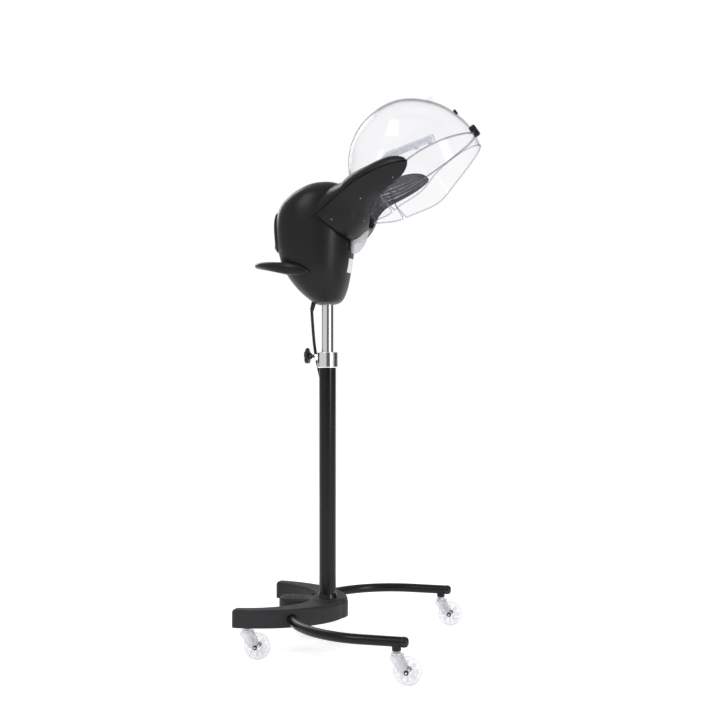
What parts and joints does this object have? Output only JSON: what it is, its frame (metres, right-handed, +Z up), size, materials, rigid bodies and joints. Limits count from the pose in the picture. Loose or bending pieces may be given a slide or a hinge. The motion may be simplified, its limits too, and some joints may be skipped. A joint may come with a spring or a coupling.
{
  "type": "hair steamer",
  "caption": "Hair steamer for a salon: a clear hood with a flip-up visor on a black steam head, on a height-adjustable column with a wheeled base.",
  "frame": {"origin": "on the column's axis at floor level, under the wheels' contact points", "axes": "+X points forward to the hood and the client, +Y to the left of someone behind the machine, +Z up along the column"},
  "size_m": [0.5539, 0.7145, 1.2963],
  "materials": {
    "black_gloss": "gloss black plastic",
    "black_paint": "gloss black powder coat",
    "black_shell": "satin black moulded ABS",
    "black_textured": "fine textured black moulding",
    "chrome": "polished chrome",
    "circuit": "green laminate",
    "clear_hood": "clear polycarbonate",
    "clear_wheel": "clear polyurethane",
    "cord_black": "black PVC sheath",
    "milky": "translucent white polypropylene",
    "nylon": "white nylon",
    "stainless": "stainless steel",
    "steel": "zinc plated steel",
    "tank_white": "white polypropylene",
    "white_label": "blank white label"
  },
  "bodies": {
    "stand": {"leg_tube": "black_paint", "leg_caps": "black_gloss", "leg_bosses": "black_paint", "base_cover": "black_textured", "base_plate": "steel", "column_foot": "steel", "column_bolts": "steel", "column_tube": "black_paint", "column_ring": "black_gloss", "guide_bush": "nylon", "clamp_collar": "chrome", "caster_stems": "steel", "cord_floor": "cord_black", "cord_coil": "cord_black", "plug": "cord_black"},
    "knob": {"lock_knob": "black_gloss"},
    "head": {"lift_tube": "chrome", "head_socket": "steel", "pod_shell_left": "black_shell", "pod_shell_right": "black_shell", "rear_dome": "black_shell", "collar_top_cover": "black_shell", "side_panel_left": "black_shell", "side_panel_right": "black_shell", "hood_cradle": "black_gloss", "panel_screws": "black_gloss", "control_panel": "black_gloss", "handle": "black_shell", "boiler": "stainless", "heater_element": "stainless", "water_tank": "tank_white", "steam_diffuser": "milky", "steam_pipe": "milky", "hinge_block": "black_gloss", "hinge_pin": "steel", "hood_dome": "clear_hood", "vent_knob": "clear_hood", "label_plate": "white_label", "circuit_board": "circuit", "strain_relief": "cord_black", "cord_hang": "cord_black"},
    "visor_flap": {"visor": "clear_hood", "visor_tab": "black_gloss"},
    "cup": {"drip_cup": "milky"},
    "cap": {"fill_cap": "black_shell"},
    "minus_key": {"button_minus": "black_shell"},
    "plus_key": {"button_plus": "black_shell"},
    "power_key": {"button_power": "black_shell"},
    "front_left_swivel": {"front_left_fork": "chrome", "front_left_axle": "chrome"},
    "front_left_roller": {"front_left_wheel": "clear_wheel"},
    "front_right_swivel": {"front_right_fork": "chrome", "front_right_axle": "chrome"},
    "front_right_roller": {"front_right_wheel": "clear_wheel"},
    "rear_left_swivel": {"rear_left_fork": "chrome", "rear_left_axle": "chrome"},
    "rear_left_roller": {"rear_left_wheel": "clear_wheel"},
    "rear_right_swivel": {"rear_right_fork": "chrome", "rear_right_axle": "chrome"},
    "rear_right_roller": {"rear_right_wheel": "clear_wheel"}
  },
  "joints": [
    {"name": "lift", "type": "slide", "parent": "stand", "child": "head", "axis": [0, 0, 1], "range_m": [0, 0.17], "deforming": ["cord_hang"]},
    {"name": "knob_turn", "type": "hinge", "parent": "stand", "child": "knob", "pos_m": [-0.0565, 0, 0.6896], "axis": [-1, 0, 0], "range_deg": [-180, 180]},
    {"name": "visor_flip", "type": "hinge", "parent": "head", "child": "visor_flap", "pos_m": [0.35766, 0, 1.21316], "axis": [0, -1, 0], "range_deg": [0, 70]},
    {"name": "cup_slide", "type": "slide", "parent": "head", "child": "cup", "axis": [1, 0, 0], "range_m": [0, 0.05]},
    {"name": "cap_lift", "type": "slide", "parent": "head", "child": "cap", "axis": [0, 0, 1], "range_m": [0, 0.04]},
    {"name": "minus_press", "type": "slide", "parent": "head", "child": "minus_key", "axis": [1, 0, 0], "range_m": [0, 0.001], "stiffness_N_per_m": 1500},
    {"name": "plus_press", "type": "slide", "parent": "head", "child": "plus_key", "axis": [1, 0, 0], "range_m": [0, 0.001], "stiffness_N_per_m": 1500},
    {"name": "power_press", "type": "slide", "parent": "head", "child": "power_key", "axis": [1, 0, 0], "range_m": [0, 0.001], "stiffness_N_per_m": 1500},
    {"name": "front_left_swivel_turn", "type": "hinge", "parent": "stand", "child": "front_left_swivel", "pos_m": [0.227, 0.268, 0.07], "axis": [0, 0, 1], "continuous": true},
    {"name": "front_left_wheel_spin", "type": "hinge", "parent": "front_left_swivel", "child": "front_left_roller", "pos_m": [0.251, 0.268, 0.03], "axis": [0, 1, 0], "continuous": true},
    {"name": "front_right_swivel_turn", "type": "hinge", "parent": "stand", "child": "front_right_swivel", "pos_m": [0.227, -0.268, 0.07], "axis": [0, 0, 1], "continuous": true},
    {"name": "front_right_wheel_spin", "type": "hinge", "parent": "front_right_swivel", "child": "front_right_roller", "pos_m": [0.251, -0.268, 0.03], "axis": [0, 1, 0], "continuous": true},
    {"name": "rear_left_swivel_turn", "type": "hinge", "parent": "stand", "child": "rear_left_swivel", "pos_m": [-0.146, 0.158, 0.07], "axis": [0, 0, 1], "continuous": true},
    {"name": "rear_left_wheel_spin", "type": "hinge", "parent": "rear_left_swivel", "child": "rear_left_roller", "pos_m": [-0.122, 0.158, 0.03], "axis": [0, 1, 0], "continuous": true},
    {"name": "rear_right_swivel_turn", "type": "hinge", "parent": "stand", "child": "rear_right_swivel", "pos_m": [-0.146, -0.158, 0.07], "axis": [0, 0, 1], "continuous": true},
    {"name": "rear_right_wheel_spin", "type": "hinge", "parent": "rear_right_swivel", "child": "rear_right_roller", "pos_m": [-0.122, -0.158, 0.03], "axis": [0, 1, 0], "continuous": true}
  ]
}
